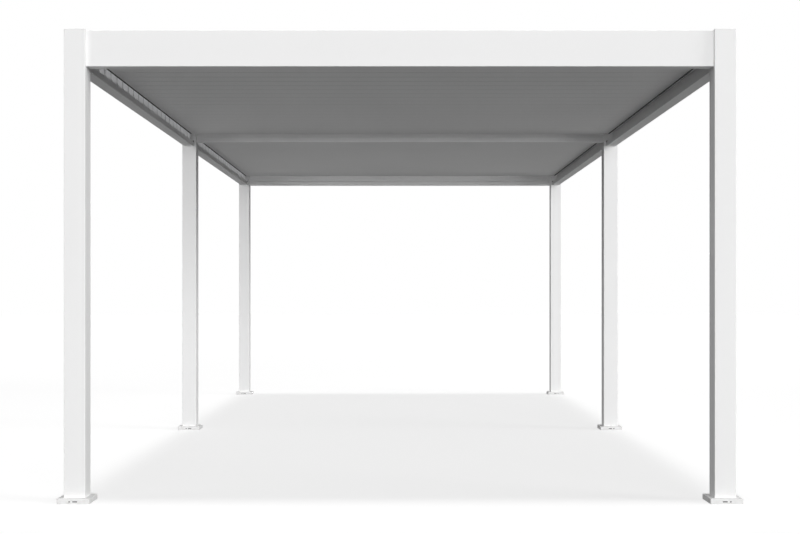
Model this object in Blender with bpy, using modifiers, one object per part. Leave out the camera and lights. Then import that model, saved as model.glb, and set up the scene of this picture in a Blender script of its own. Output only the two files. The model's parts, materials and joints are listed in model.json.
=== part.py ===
"""Aluminium pergola with two bays of tilting louvres.

Metres, +Z up. The origin is on the floor at the middle of the footprint.
-Y is the front, +X the right-hand side seen from the front.
"""
import math

import bmesh
import bpy
from mathutils import Matrix

# Overall layout
WIDTH_OVER_POSTS = 3.600
DEPTH_OVER_POSTS = 7.200
CLEAR_HEIGHT = 2.342
FIT_GAP = 0.0003

# Posts, caps and foot plates
POST_SIZE = 0.115
POST_EDGE_RADIUS = 0.003
POST_RISE_OVER_BEAM = 0.001
CAP_THICKNESS = 0.005
FOOT_SIZE = 0.176
FOOT_THICKNESS = 0.028
FOOT_EDGE_RADIUS = 0.004
ANCHOR_HOLE_DIAMETER = 0.011
ANCHOR_HOLE_INSET = 0.014
DRAIN_HEIGHT = 0.012
DRAIN_DEPTH = 0.012
DRAIN_SLOT_WIDTH = 0.026
DRAIN_SLOT_HEIGHT = 0.006
DRAIN_SLOT_INWARD = 0.009
WEEP_HOLE_DIAMETER = 0.010
WEEP_HOLE_OUTWARD = 0.020
HOLE_SIDES = 12

# Perimeter beam section
BEAM_THICKNESS = 0.076
BEAM_HEIGHT = 0.192
BEAM_BOX_THICKNESS = 0.026
GUTTER_WALL = 0.003
GUTTER_LIP_HEIGHT = 0.038
TOP_FLANGE_WIDTH = 0.018
TRACK_DEPTH = 0.010
TRACK_WALL = 0.008
TRACK_BACK = 0.0008

# Middle beam section
MID_BEAM_FOOT_HEIGHT = 0.027
MID_BEAM_FOOT_STEP = 0.002

# Louvres
LOUVRE_PITCH = 0.1532
LEAST_END_MARGIN = 0.030
LOUVRE_SWING_CLEARANCE = 0.0054
LOUVRE_DROP = 0.020
LOUVRE_CROWN = 0.010
LOUVRE_END_SETBACK = 0.0235
CROWN_STEPS = 8
SEAM_GAP = 0.0055
LIP_SETBACK = 0.0006
LIP_THICKNESS = 0.0035
LIP_WIDTH = 0.014
NOSE_OVERLAP = 0.0084
NOSE_THICKNESS = 0.0035
NOSE_OVER_LIP = 0.008
PIN_DIAMETER = 0.008
PIN_ROOT = 0.002
PIN_SIDES = 8
PIN_CLEARANCE = 0.0003

# Crank plates and link bars
CRANK_PLATE_THICKNESS = 0.003
CRANK_FLOOR_CLEARANCE = 0.009
CRANK_REST_ANGLE = math.radians(49)
CRANK_END_RADIUS = 0.009
CRANK_END_ARC = math.radians(110)
CRANK_END_STEPS = 4
CRANK_HEEL_REACH = 0.060
CRANK_HEEL_DROP = 0.060
CRANK_PIN_LENGTH = 0.0035
LINK_BAR_HEIGHT = 0.016
LINK_BAR_THICKNESS = 0.004
LINK_BAR_OVERHANG = 0.012

# Closing strips between the end louvres and the cross beams
STRIP_WALL = 0.003
STRIP_SHADOW_GAP = 0.003
JOIN_DEPTH = 0.001

# Heights and places that follow from the sizes above
BEAM_TOP = CLEAR_HEIGHT + BEAM_HEIGHT
POST_TOP = BEAM_TOP + POST_RISE_OVER_BEAM
GUTTER_FLOOR = CLEAR_HEIGHT + GUTTER_WALL
LIP_TOP = CLEAR_HEIGHT + GUTTER_LIP_HEIGHT
LIP_REACH = LOUVRE_PITCH / 2 - LIP_SETBACK
NOSE_REACH = LOUVRE_PITCH / 2 + NOSE_OVERLAP
LOUVRE_HEEL = LOUVRE_PITCH - LIP_REACH - SEAM_GAP
PIVOT_HEIGHT = LIP_TOP + math.hypot(LIP_REACH, LOUVRE_DROP) + LOUVRE_SWING_CLEARANCE
LOUVRE_UNDERSIDE_HEIGHT = PIVOT_HEIGHT - LOUVRE_DROP
NOSE_BOTTOM = -LOUVRE_DROP + LIP_THICKNESS + NOSE_OVER_LIP
CRANK_SWING_END = max(CRANK_END_RADIUS, LINK_BAR_HEIGHT / 2)
CRANK_RADIUS = PIVOT_HEIGHT - GUTTER_FLOOR - CRANK_FLOOR_CLEARANCE - CRANK_SWING_END
CRANK_PIN_REACH = CRANK_RADIUS * math.cos(CRANK_REST_ANGLE)
CRANK_PIN_DROP = CRANK_RADIUS * math.sin(CRANK_REST_ANGLE)
POST_X = (WIDTH_OVER_POSTS - POST_SIZE) / 2
POST_Y = (DEPTH_OVER_POSTS - POST_SIZE) / 2
BAY_SPAN = POST_Y - BEAM_THICKNESS
GUTTER_FACE_X = POST_X - BEAM_THICKNESS / 2
LOUVRE_HALF_LENGTH = GUTTER_FACE_X + LOUVRE_END_SETBACK
TRACK_FACE_X = GUTTER_FACE_X + BEAM_THICKNESS - BEAM_BOX_THICKNESS - TRACK_DEPTH
PIN_END_X = TRACK_FACE_X + TRACK_DEPTH - TRACK_BACK - PIN_CLEARANCE
CROSS_REACH = POST_X - POST_SIZE / 2 - FIT_GAP
LOUVRES_PER_BAY = int((BAY_SPAN - 2 * LEAST_END_MARGIN) / LOUVRE_PITCH)
END_MARGIN = (BAY_SPAN - LOUVRES_PER_BAY * LOUVRE_PITCH) / 2
TRACK_GROOVE = PIN_DIAMETER + 2 * PIN_CLEARANCE


def clear_scene():
    """Remove every object that the scene starts with."""
    for item in list(bpy.data.objects):
        bpy.data.objects.remove(item, do_unlink=True)


def new_collection(name):
    """Make a collection below the scene's own."""
    group = bpy.data.collections.new(name)
    bpy.context.scene.collection.children.link(group)
    return group


def new_material(name, colour, roughness, metallic):
    """Make a Principled BSDF material."""
    material = bpy.data.materials.new(name)
    material.use_nodes = True
    shader = material.node_tree.nodes["Principled BSDF"]
    shader.inputs["Base Color"].default_value = (*colour, 1.0)
    shader.inputs["Roughness"].default_value = roughness
    shader.inputs["Metallic"].default_value = metallic
    return material


def add_object(name, mesh, group, place=None):
    """Link a mesh as a named object at a place."""
    item = bpy.data.objects.new(name, mesh)
    group.objects.link(item)
    if place is not None:
        item.matrix_world = place
    return item


def box_mesh(name, low, high):
    """Make a box between two corners."""
    form = bmesh.new()
    bmesh.ops.create_cube(form, size=1.0)
    size = [b - a for a, b in zip(low, high)]
    middle = [(a + b) / 2 for a, b in zip(low, high)]
    bmesh.ops.scale(form, verts=form.verts, vec=size)
    bmesh.ops.translate(form, verts=form.verts, vec=middle)
    mesh = bpy.data.meshes.new(name)
    form.to_mesh(mesh)
    form.free()
    return mesh


def cylinder_mesh(name, start, end, diameter, sides):
    """Make a cylinder along X between two points, with a flat at its bottom."""
    form = bmesh.new()
    length = abs(end[0] - start[0])
    bmesh.ops.create_cone(form, cap_ends=True, segments=sides, radius1=diameter / 2,
                          radius2=diameter / 2, depth=length)
    turn = Matrix.Rotation(math.pi / 2, 4, "Y") @ Matrix.Rotation(math.pi / sides, 4, "Z")
    bmesh.ops.transform(form, matrix=turn, verts=form.verts)
    middle = [(a + b) / 2 for a, b in zip(start, end)]
    bmesh.ops.translate(form, verts=form.verts, vec=middle)
    mesh = bpy.data.meshes.new(name)
    form.to_mesh(mesh)
    form.free()
    return mesh


# A section's own x and y become the two axes named, and it is extruded along the third.
ALONG_X = Matrix(((0, 0, 1, 0), (1, 0, 0, 0), (0, 1, 0, 0), (0, 0, 0, 1)))
ALONG_Y = Matrix(((1, 0, 0, 0), (0, 0, 1, 0), (0, 1, 0, 0), (0, 0, 0, 1)))


def extruded_mesh(name, outline, start, end, turn):
    """Extrude a closed flat outline from start to end along the turned axis."""
    curve = bpy.data.curves.new(name, "CURVE")
    curve.dimensions = "2D"
    curve.fill_mode = "BOTH"
    curve.extrude = (end - start) / 2
    spline = curve.splines.new("POLY")
    spline.points.add(len(outline) - 1)
    for point, (across, up) in zip(spline.points, outline):
        point.co = (across, up, 0.0, 1.0)
    spline.use_cyclic_u = True
    item = bpy.data.objects.new(name + "_outline", curve)
    bpy.context.scene.collection.objects.link(item)
    depsgraph = bpy.context.evaluated_depsgraph_get()
    mesh = bpy.data.meshes.new_from_object(item.evaluated_get(depsgraph))
    bpy.data.objects.remove(item, do_unlink=True)
    bpy.data.curves.remove(curve)
    mesh.name = name
    form = bmesh.new()
    form.from_mesh(mesh)
    bmesh.ops.remove_doubles(form, verts=form.verts, dist=0.00001)
    bmesh.ops.translate(form, verts=form.verts, vec=(0, 0, (start + end) / 2))
    bmesh.ops.transform(form, matrix=turn, verts=form.verts)
    bmesh.ops.recalc_face_normals(form, faces=form.faces)
    form.to_mesh(mesh)
    form.free()
    return mesh


def combined_mesh(name, base, tools, operation, cutters):
    """Unite a mesh with others, or cut them from it, and return the result."""
    body = add_object(name + "_blank", base, cutters)
    for number, tool in enumerate(tools):
        cutter = add_object(f"{name}_tool_{number}", tool, cutters)
        cutter.hide_render = True
        cutter.display_type = "WIRE"
        step = body.modifiers.new(f"step_{number}", "BOOLEAN")
        step.operation = operation
        step.solver = "EXACT"
        step.object = cutter
    bpy.context.view_layer.update()
    depsgraph = bpy.context.evaluated_depsgraph_get()
    result = bpy.data.meshes.new_from_object(body.evaluated_get(depsgraph))
    result.name = name
    bpy.data.objects.remove(body, do_unlink=True)
    return result


def bevelled_mesh(mesh, width, cutters):
    """Round the upright edges of a box."""
    blank = add_object(mesh.name + "_blank", mesh, cutters)
    bevel = blank.modifiers.new("edges", "BEVEL")
    bevel.width = width
    bevel.segments = 2
    bevel.limit_method = "WEIGHT"
    weights = mesh.attributes.new("bevel_weight_edge", "FLOAT", "EDGE")
    for edge in mesh.edges:
        low, high = (mesh.vertices[index].co.z for index in edge.vertices)
        weights.data[edge.index].value = 1.0 if abs(low - high) > width else 0.0
    bpy.context.view_layer.update()
    depsgraph = bpy.context.evaluated_depsgraph_get()
    result = bpy.data.meshes.new_from_object(blank.evaluated_get(depsgraph))
    bpy.data.objects.remove(blank, do_unlink=True)
    return result


def perimeter_section(inner, outward, with_track):
    """Outline of a perimeter beam: box at the outside, gutter channel inside.

    inner is the place of the gutter's face and outward the sign of the way out.
    """
    box_face = BEAM_THICKNESS - BEAM_BOX_THICKNESS
    flange_edge = box_face - TOP_FLANGE_WIDTH
    flange_underside = BEAM_TOP - GUTTER_WALL
    outline = [
        (0.0, CLEAR_HEIGHT),
        (BEAM_THICKNESS, CLEAR_HEIGHT),
        (BEAM_THICKNESS, BEAM_TOP),
        (flange_edge, BEAM_TOP),
        (flange_edge, flange_underside),
        (box_face, flange_underside),
    ]
    if with_track:
        track_face = box_face - TRACK_DEPTH
        groove_back = box_face - TRACK_BACK
        half_groove = TRACK_GROOVE / 2
        half_track = half_groove + TRACK_WALL
        outline += [
            (box_face, PIVOT_HEIGHT + half_track),
            (track_face, PIVOT_HEIGHT + half_track),
            (track_face, PIVOT_HEIGHT + half_groove),
            (groove_back, PIVOT_HEIGHT + half_groove),
            (groove_back, PIVOT_HEIGHT - half_groove),
            (track_face, PIVOT_HEIGHT - half_groove),
            (track_face, PIVOT_HEIGHT - half_track),
            (box_face, PIVOT_HEIGHT - half_track),
        ]
    outline += [
        (box_face, GUTTER_FLOOR),
        (GUTTER_WALL, GUTTER_FLOOR),
        (GUTTER_WALL, LIP_TOP),
        (0.0, LIP_TOP),
    ]
    return [(inner + outward * across, up) for across, up in outline]


def louvre_section():
    """Outline of a louvre about its pivot, far edge at +Y: lip below, nose above."""
    bottom = -LOUVRE_DROP
    shoulder = LIP_REACH - LIP_WIDTH
    crown_fall = LOUVRE_CROWN - NOSE_BOTTOM - NOSE_THICKNESS
    crown = []
    for step in range(CROWN_STEPS + 1):
        across = shoulder - (shoulder + NOSE_REACH) * step / CROWN_STEPS
        crown.append((across, LOUVRE_CROWN - crown_fall * (across / NOSE_REACH) ** 2))
    return [
        (-LOUVRE_HEEL, bottom),
        (LIP_REACH, bottom),
        (LIP_REACH, bottom + LIP_THICKNESS),
        (shoulder, bottom + LIP_THICKNESS),
        *crown,
        (-NOSE_REACH, NOSE_BOTTOM),
        (-LOUVRE_HEEL, NOSE_BOTTOM),
    ]


def crank_section():
    """Outline of the saw-toothed crank plate, from heel to pin."""
    end = []
    for step in range(CRANK_END_STEPS + 1):
        angle = -CRANK_END_ARC * (1 - step / CRANK_END_STEPS)
        end.append((CRANK_PIN_REACH + CRANK_END_RADIUS * math.cos(angle),
                    -CRANK_PIN_DROP + CRANK_END_RADIUS * math.sin(angle)))
    top = -LOUVRE_DROP + LIP_THICKNESS / 2
    return [(-CRANK_HEEL_REACH, top), (-CRANK_HEEL_REACH, -CRANK_HEEL_DROP), *end,
            (CRANK_PIN_REACH + CRANK_END_RADIUS, top)]


def louvre_mesh(cutters):
    """One louvre about its pivot: blade, crank plate on the left, pins at both ends."""
    plate_face = -LOUVRE_HALF_LENGTH - CRANK_PLATE_THICKNESS
    blade = extruded_mesh("louvre_blade", louvre_section(), plate_face, LOUVRE_HALF_LENGTH, ALONG_X)
    crank = extruded_mesh("crank_plate", crank_section(), plate_face, -LOUVRE_HALF_LENGTH, ALONG_X)
    left_pin = cylinder_mesh("left_pin", (-PIN_END_X, 0, 0), (plate_face + PIN_ROOT, 0, 0),
                             PIN_DIAMETER, PIN_SIDES)
    right_pin = cylinder_mesh("right_pin", (LOUVRE_HALF_LENGTH - PIN_ROOT, 0, 0), (PIN_END_X, 0, 0),
                              PIN_DIAMETER, PIN_SIDES)
    crank_place = (CRANK_PIN_REACH, -CRANK_PIN_DROP)
    crank_pin = cylinder_mesh("crank_pin", (plate_face - CRANK_PIN_LENGTH, *crank_place),
                              (plate_face + PIN_ROOT, *crank_place), PIN_DIAMETER, PIN_SIDES)
    return combined_mesh("louvre", blade, [crank, left_pin, right_pin, crank_pin], "UNION", cutters)


def bay_start(bay):
    """Gutter face at the near end of a bay: 0 is the front bay, 1 the rear."""
    return -POST_Y + BEAM_THICKNESS / 2 + bay * POST_Y


def pivot_y(bay, number):
    """Pivot of a louvre, numbered from 0 at the near end of its bay."""
    return bay_start(bay) + END_MARGIN + (number + 0.5) * LOUVRE_PITCH


def hole_cutter(name, diameter, depth, place):
    """Cutter for one round hole: place turns and moves it from upright at the origin."""
    form = bmesh.new()
    bmesh.ops.create_cone(form, cap_ends=True, segments=HOLE_SIDES, radius1=diameter / 2,
                          radius2=diameter / 2, depth=2 * depth)
    bmesh.ops.transform(form, matrix=place, verts=form.verts)
    mesh = bpy.data.meshes.new(name)
    form.to_mesh(mesh)
    form.free()
    return mesh


def drain_cutters(outward):
    """Slot and weep hole in the front of a foot plate. outward is the sign of the way out."""
    front = -FOOT_SIZE / 2
    slot_x = -outward * DRAIN_SLOT_INWARD
    slot = box_mesh("drain_slot",
                    (slot_x - DRAIN_SLOT_WIDTH / 2, front - DRAIN_DEPTH,
                     DRAIN_HEIGHT - DRAIN_SLOT_HEIGHT / 2),
                    (slot_x + DRAIN_SLOT_WIDTH / 2, front + DRAIN_DEPTH,
                     DRAIN_HEIGHT + DRAIN_SLOT_HEIGHT / 2))
    place = Matrix.Translation((outward * WEEP_HOLE_OUTWARD, front, DRAIN_HEIGHT))
    forward = Matrix.Rotation(math.pi / 2, 4, "X")
    return [slot, hole_cutter("weep_hole", WEEP_HOLE_DIAMETER, DRAIN_DEPTH, place @ forward)]


def post_mesh(outward, cutters):
    """A square post with its cap and its welded foot plate, about its own centre line."""
    half = POST_SIZE / 2
    post = bevelled_mesh(box_mesh("post", (-half, -half, 0), (half, half, POST_TOP + CAP_THICKNESS)),
                         POST_EDGE_RADIUS, cutters)
    half = FOOT_SIZE / 2
    plate = bevelled_mesh(box_mesh("foot_plate", (-half, -half, 0), (half, half, FOOT_THICKNESS)),
                          FOOT_EDGE_RADIUS, cutters)
    footed = combined_mesh("footed_post", post, [plate], "UNION", cutters)
    reach = half - ANCHOR_HOLE_INSET
    tools = [hole_cutter("anchor_hole", ANCHOR_HOLE_DIAMETER, 2 * FOOT_THICKNESS,
                         Matrix.Translation((side_x * reach, side_y * reach, 0)))
             for side_x in (-1, 1) for side_y in (-1, 1)]
    return combined_mesh("post", footed, tools + drain_cutters(outward), "DIFFERENCE", cutters)


def post_places():
    """Names and centres of the six posts."""
    return [(f"{row}_{side}_post", x, y)
            for row, y in (("front", -POST_Y), ("mid", 0.0), ("rear", POST_Y))
            for side, x in (("left", -POST_X), ("right", POST_X))]


def add_posts(parts, cutters, paint):
    """Three posts that share a mesh on the left, and three on the right."""
    meshes = {outward: post_mesh(outward, cutters) for outward in (-1, 1)}
    for mesh in meshes.values():
        mesh.materials.clear()
        mesh.materials.append(paint)
    for name, x, y in post_places():
        add_object(name, meshes[1 if x > 0 else -1], parts, Matrix.Translation((x, y, 0)))


def near_strip_section(start, back):
    """Closing strip ahead of a bay's first louvre, with a lip that the louvre's nose laps.

    start is the near cell edge of the first louvre, and back lies in the beam that carries it.
    """
    bottom = LOUVRE_UNDERSIDE_HEIGHT
    top = bottom + LIP_THICKNESS
    lip_end = start - LIP_SETBACK
    return [(back, bottom), (lip_end, bottom), (lip_end, top), (back, top)]


def far_strip_section(end, back):
    """Closing strip behind a bay's last louvre, with a nose that laps the louvre's lip.

    end is the far cell edge of the last louvre, and back lies in the beam that carries it.
    """
    bottom = LOUVRE_UNDERSIDE_HEIGHT
    top = bottom + LIP_THICKNESS
    heel = end - LIP_SETBACK + SEAM_GAP
    nose = end - NOSE_OVERLAP
    nose_bottom = PIVOT_HEIGHT + NOSE_BOTTOM
    nose_top = nose_bottom + NOSE_THICKNESS
    web = heel + STRIP_WALL
    return [(heel, bottom), (back, bottom), (back, top), (web, top), (web, nose_top),
            (nose, nose_top), (nose, nose_bottom), (heel, nose_bottom)]


def closing_strip(outline, cutters):
    """A strip as long as the louvres, notched round the posts."""
    strip = extruded_mesh("strip", outline, -LOUVRE_HALF_LENGTH, LOUVRE_HALF_LENGTH, ALONG_X)
    notch = POST_SIZE / 2 + FIT_GAP
    notches = [box_mesh("post_notch", (x - notch, y - notch, CLEAR_HEIGHT),
                        (x + notch, y + notch, BEAM_TOP)) for _, x, y in post_places()]
    return combined_mesh("notched_strip", strip, notches, "DIFFERENCE", cutters)


def strip_leg(face, inward):
    """Hanging leg of an outer strip, over the gutter lip of its beam."""
    low, high = sorted((face, face - inward * STRIP_WALL))
    return box_mesh("strip_leg", (-CROSS_REACH, low, LIP_TOP + STRIP_SHADOW_GAP),
                    (CROSS_REACH, high, LOUVRE_UNDERSIDE_HEIGHT + LIP_THICKNESS / 2))


def add_cross_beam(name, outline, additions, parts, cutters, paint):
    """A beam from side to side between two posts, with its closing strips."""
    beam = extruded_mesh(name, outline, -CROSS_REACH, CROSS_REACH, ALONG_X)
    mesh = combined_mesh(name, beam, additions, "UNION", cutters)
    mesh.materials.clear()
    mesh.materials.append(paint)
    add_object(name, mesh, parts)


def add_cross_beams(parts, cutters, paint):
    """Front and rear beams of the perimeter section, and the shallower middle beam."""
    box_face = BEAM_THICKNESS - BEAM_BOX_THICKNESS + JOIN_DEPTH
    half = BEAM_THICKNESS / 2
    waist = half - MID_BEAM_FOOT_STEP
    front_face = bay_start(0)
    rear_face = bay_start(1) + BAY_SPAN
    front_strip = closing_strip(near_strip_section(front_face + END_MARGIN, front_face - box_face),
                                cutters)
    add_cross_beam("front_beam", perimeter_section(front_face, -1, False),
                   [front_strip, strip_leg(front_face, 1)], parts, cutters, paint)
    rear_strip = closing_strip(far_strip_section(rear_face - END_MARGIN, rear_face + box_face), cutters)
    add_cross_beam("rear_beam", perimeter_section(rear_face, 1, False),
                   [rear_strip, strip_leg(rear_face, -1)], parts, cutters, paint)
    step = LIP_TOP + MID_BEAM_FOOT_HEIGHT
    middle = [(-half, LIP_TOP), (half, LIP_TOP), (half, step), (waist, step), (waist, BEAM_TOP),
              (-waist, BEAM_TOP), (-waist, step), (-half, step)]
    ahead = closing_strip(far_strip_section(-half - END_MARGIN, -waist + JOIN_DEPTH), cutters)
    behind = closing_strip(near_strip_section(half + END_MARGIN, waist - JOIN_DEPTH), cutters)
    add_cross_beam("mid_beam", middle, [ahead, behind], parts, cutters, paint)


def add_side_beams(parts, paint):
    """Side beams, one a bay on each side, with the gutter and the pivot track inside."""
    inset = POST_SIZE / 2 + FIT_GAP
    for side_name, side in (("left", -1), ("right", 1)):
        outline = perimeter_section(side * GUTTER_FACE_X, side, True)
        for bay_name, start in (("front", -POST_Y), ("rear", 0.0)):
            name = f"{bay_name}_{side_name}_side_beam"
            mesh = extruded_mesh(name, outline, start + inset, start + POST_Y - inset, ALONG_Y)
            mesh.materials.append(paint)
            add_object(name, mesh, parts)


def add_louvres(parts, cutters, paint):
    """All louvres share one mesh, and each has its origin on its pivot."""
    mesh = louvre_mesh(cutters)
    mesh.materials.clear()
    mesh.materials.append(paint)
    for bay, name in enumerate(("front", "rear")):
        for number in range(LOUVRES_PER_BAY):
            place = Matrix.Translation((0, pivot_y(bay, number), PIVOT_HEIGHT))
            add_object(f"{name}_louvre_{number + 1:02d}", mesh, parts, place)


def add_link_bars(parts, paint):
    """One bar a bay in the left gutter, beside the crank pins."""
    outer = -LOUVRE_HALF_LENGTH - CRANK_PLATE_THICKNESS - CRANK_PIN_LENGTH - FIT_GAP
    run = (LOUVRES_PER_BAY - 1) * LOUVRE_PITCH + LINK_BAR_OVERHANG
    half = LINK_BAR_HEIGHT / 2
    mesh = box_mesh("link_bar", (outer - LINK_BAR_THICKNESS, -LINK_BAR_OVERHANG, -half),
                    (outer, run, half))
    mesh.materials.append(paint)
    for bay, name in enumerate(("front", "rear")):
        place = (0, pivot_y(bay, 0) + CRANK_PIN_REACH, PIVOT_HEIGHT - CRANK_PIN_DROP)
        add_object(f"{name}_link_bar", mesh, parts, Matrix.Translation(place))


def main():
    """Build the pergola."""
    clear_scene()
    parts = new_collection("aluminium_pergola")
    cutters = new_collection("cutters")
    white = new_material("white_powder_coat", (0.86, 0.86, 0.86), 0.45, 0.0)
    satin = new_material("louvre_powder_coat", (0.84, 0.84, 0.84), 0.45, 0.0)
    bare = new_material("mill_aluminium", (0.70, 0.70, 0.71), 0.35, 1.0)
    add_posts(parts, cutters, white)
    add_cross_beams(parts, cutters, white)
    add_side_beams(parts, white)
    add_louvres(parts, cutters, satin)
    add_link_bars(parts, bare)
    cutters.hide_render = True


main()
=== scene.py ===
"""Looks of a louvred aluminium pergola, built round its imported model.

The file is laid out as an add-on and is run as a script. Metres, +Z up, -Y is the front.
"""
import json
import math

import bmesh
import bpy
from bpy.props import FloatProperty, FloatVectorProperty, PointerProperty
from mathutils import Matrix, Vector


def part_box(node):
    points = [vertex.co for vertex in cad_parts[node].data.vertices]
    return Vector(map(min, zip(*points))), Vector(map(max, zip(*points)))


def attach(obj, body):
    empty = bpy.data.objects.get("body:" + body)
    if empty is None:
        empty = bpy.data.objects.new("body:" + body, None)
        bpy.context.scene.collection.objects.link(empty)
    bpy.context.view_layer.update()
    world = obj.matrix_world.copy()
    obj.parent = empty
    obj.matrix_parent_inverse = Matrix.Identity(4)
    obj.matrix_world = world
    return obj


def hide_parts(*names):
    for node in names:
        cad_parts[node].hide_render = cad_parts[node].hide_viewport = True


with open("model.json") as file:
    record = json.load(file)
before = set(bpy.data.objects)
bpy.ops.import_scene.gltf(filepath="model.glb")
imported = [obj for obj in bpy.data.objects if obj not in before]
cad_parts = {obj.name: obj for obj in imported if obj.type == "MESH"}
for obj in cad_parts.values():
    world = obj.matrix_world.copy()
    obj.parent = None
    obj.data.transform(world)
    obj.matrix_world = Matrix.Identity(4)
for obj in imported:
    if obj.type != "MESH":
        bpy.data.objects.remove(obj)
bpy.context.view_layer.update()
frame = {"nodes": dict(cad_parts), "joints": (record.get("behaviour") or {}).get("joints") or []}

bl_info = {
    "name": "Louvred pergola",
    "version": (1, 0, 0),
    "blender": (4, 5, 0),
    "location": "View3D > Sidebar > Pergola",
    "description": "Builds the finished pieces of a louvred aluminium pergola on its packed model",
    "category": "Object",
}

BAYS = ("front", "rear")
ROWS = ("front", "mid", "rear")
SIDES = {"left": -1, "right": 1}
ENDS = {"front": -1, "rear": 1}

# Roundings and tolerances of the modelling
ROUND_STEPS = 4
EDGE_STEPS = 3
FINE_EDGE_STEPS = 2
HOLE_STEPS = 5
CROWN_STEPS = 16
FULL_ROUND = 0.49
PLUG_SIDES = 24
BOSS_SIDES = 24
PIN_SIDES = 20
SCREW_SIDES = 16
# Sides of the black disc of painted shade for a screw's socket
SOCKET_SHADE_SIDES = 6
OUTLET_SIDES = 32
SMOOTH_ANGLE = math.radians(35)
PARALLEL = 0.999
SAME_PLACE = 1e-6
CUT_TOLERANCE = 1e-7

# Axes and directions
X_AXIS = 0
Z_AXIS = 2
UP = (0, 0, 1)
TO_LEFT = (-1, 0, 0)
TO_RIGHT = (1, 0, 0)
TO_FRONT = (0, -1, 0)

# Turns of an extrusion. It runs along the axis named, and its section lies in the other two.
ALONG_X = Matrix(((0, 0, 1, 0), (1, 0, 0, 0), (0, 1, 0, 0), (0, 0, 0, 1)))
ALONG_Y = Matrix(((1, 0, 0, 0), (0, 0, 1, 0), (0, 1, 0, 0), (0, 0, 0, 1)))
ALONG_Z = Matrix.Identity(4)


def joint_place(name):
    """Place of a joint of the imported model."""
    return Vector(next(joint["pos_m"] for joint in frame["joints"] if joint["name"] == name))


def louvre_names(bay):
    """The louvres of a bay, from front to back."""
    return sorted(name for name in frame["nodes"] if name.startswith(bay + "_louvre_"))


def post_centre(name):
    """Centre line of a post, on the floor."""
    low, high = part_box(name)
    return Vector(((low.x + high.x) / 2, (low.y + high.y) / 2, 0.0))


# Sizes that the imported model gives
FOOT_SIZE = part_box("mid_left_post")[1].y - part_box("mid_left_post")[0].y
POST_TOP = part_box("mid_left_post")[1].z
POST_X = post_centre("mid_right_post").x
POST_Y = post_centre("rear_left_post").y
BEAM_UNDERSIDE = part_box("front_left_side_beam")[0].z
BEAM_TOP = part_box("front_left_side_beam")[1].z
GUTTER_FACE_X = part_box("front_right_side_beam")[0].x
BEAM_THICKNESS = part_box("front_right_side_beam")[1].x - GUTTER_FACE_X
LIP_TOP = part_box("mid_beam")[0].z
LOUVRE_HALF_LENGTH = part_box("mid_beam")[1].x
FIRST_PIVOT = joint_place("front_louvre_01_tilt")
PIVOT_HEIGHT = FIRST_PIVOT.z
PIN_END_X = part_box("front_louvre_01")[1].x
LOUVRE_PITCH = joint_place("front_louvre_02_tilt").y - FIRST_PIVOT.y
CRANK_PIN = joint_place("front_link_bar_pivot") - FIRST_PIVOT
LINK_BAR_INNER = -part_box("front_link_bar")[1].x
LINK_BAR_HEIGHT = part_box("front_link_bar")[1].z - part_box("front_link_bar")[0].z

# Sizes of the sections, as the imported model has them
FIT_GAP = 0.0003
POST_SIZE = 0.115
CAP_THICKNESS = 0.005
FOOT_THICKNESS = 0.028
DRAIN_HEIGHT = 0.012
DRAIN_DEPTH = 0.012
DRAIN_SLOT_WIDTH = 0.026
DRAIN_SLOT_HEIGHT = 0.006
DRAIN_SLOT_INWARD = 0.009
WEEP_HOLE_DIAMETER = 0.010
WEEP_HOLE_OUTWARD = 0.020
PLUG_INSET = 0.014
BOX_THICKNESS = 0.026
WALL = 0.003
FLANGE_WIDTH = 0.018
TRACK_DEPTH = 0.010
TRACK_WALL = 0.008
TRACK_BACK = 0.0008
PIN_RADIUS = 0.004
GROOVE_HEIGHT = 2 * (PIN_RADIUS + FIT_GAP)
MID_FOOT_HEIGHT = 0.027
MID_FOOT_STEP = 0.002
SHADOW_GAP = 0.003
LOUVRE_DROP = 0.020
LOUVRE_CROWN = 0.010
SEAM_GAP = 0.0055
LIP_SETBACK = 0.0006
LIP_THICKNESS = 0.0035
LIP_WIDTH = 0.014
NOSE_OVERLAP = 0.0084
NOSE_THICKNESS = 0.0035
NOSE_OVER_LIP = 0.008
END_PLATE = 0.003
CRANK_END_RADIUS = 0.009
CRANK_HEEL_REACH = 0.060
CRANK_HEEL_DROP = 0.060
PIN_ROOT = 0.002
JOIN_DEPTH = 0.001

# Places that follow from these sizes
GUTTER_FLOOR = BEAM_UNDERSIDE + WALL
BOX_FACE = BEAM_THICKNESS - BOX_THICKNESS
CROSS_REACH = POST_X - POST_SIZE / 2 - FIT_GAP
POST_CLEAR = POST_SIZE / 2 + FIT_GAP
LOUVRE_UNDERSIDE = PIVOT_HEIGHT - LOUVRE_DROP
LIP_REACH = LOUVRE_PITCH / 2 - LIP_SETBACK
NOSE_REACH = LOUVRE_PITCH / 2 + NOSE_OVERLAP
LOUVRE_HEEL = LOUVRE_PITCH - LIP_REACH - SEAM_GAP
NOSE_BOTTOM = LIP_THICKNESS + NOSE_OVER_LIP - LOUVRE_DROP
TRACK_FACE_X = GUTTER_FACE_X + BOX_FACE - TRACK_DEPTH
FRONT_FACE = -POST_Y + BEAM_THICKNESS / 2
END_MARGIN = FIRST_PIVOT.y - LOUVRE_PITCH / 2 - FRONT_FACE

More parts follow.
